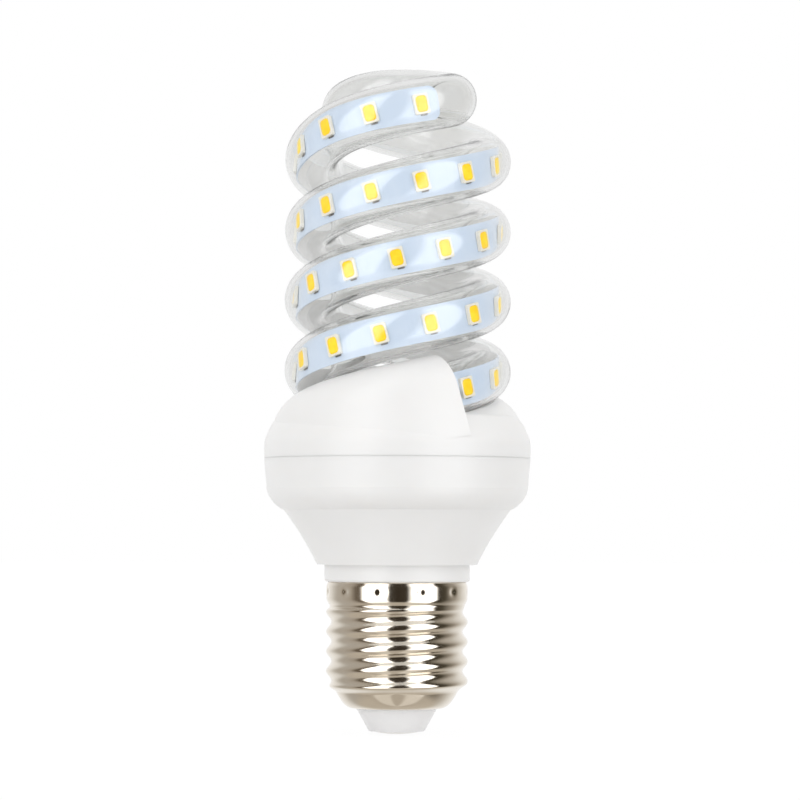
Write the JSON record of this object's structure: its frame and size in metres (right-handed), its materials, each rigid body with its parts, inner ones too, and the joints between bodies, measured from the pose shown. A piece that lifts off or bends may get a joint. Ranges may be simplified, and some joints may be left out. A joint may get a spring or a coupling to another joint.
{
  "type": "spiral led bulb",
  "caption": "Clear double-helix bulb with an LED strip in each arm of its tube, a white housing with an inner driver and an E27 screw base.",
  "frame": {"origin": "lowest point of the centre contact, on the bulb's axis", "axes": "+Z along the axis from the screw base to the spiral, the front seen in the picture towards -Y, +X to its right"},
  "size_m": [0.0494, 0.0494, 0.1232],
  "materials": {
    "clear_glass": "clear, smooth tube glass",
    "strip_film": "pale blue-white solder mask",
    "chip_frame": "cream moulded frame",
    "phosphor": "yellow phosphor gel",
    "silicone": "white silicone",
    "tinned_wire": "tinned copper",
    "housing_plastic": "warm white satin moulding",
    "plated_shell": "nickel plated sheet",
    "insulator_plastic": "light grey moulding",
    "contact_metal": "plated contact",
    "board_laminate": "pale laminate",
    "capacitor_sleeve": "black shrink sleeve",
    "film_coating": "red-brown dipped coating",
    "ferrite": "dark ferrite",
    "black_epoxy": "moulded epoxy",
    "resistor_coating": "grey-green coating"
  },
  "bodies": {
    "root": {"spiral_tube": "clear_glass", "led_strip_a": "strip_film", "led_strip_b": "strip_film", "led_chips_a": "chip_frame", "led_chips_b": "chip_frame", "led_phosphors_a": "phosphor", "led_phosphors_b": "phosphor", "tube_seal_a": "silicone", "tube_seal_b": "silicone", "strip_leads_a": "tinned_wire", "strip_leads_b": "tinned_wire", "top_cover": "housing_plastic", "lower_housing": "housing_plastic", "screw_shell": "plated_shell", "insulator": "insulator_plastic", "centre_contact": "contact_metal", "driver_board": "board_laminate", "smoothing_capacitor": "capacitor_sleeve", "film_capacitor": "film_coating", "filter_inductor": "ferrite", "bridge_rectifier": "black_epoxy", "driver_chip": "black_epoxy", "sense_resistor": "black_epoxy", "fusible_resistor": "resistor_coating", "live_lead": "tinned_wire", "neutral_lead": "tinned_wire"}
  },
  "joints": []
}
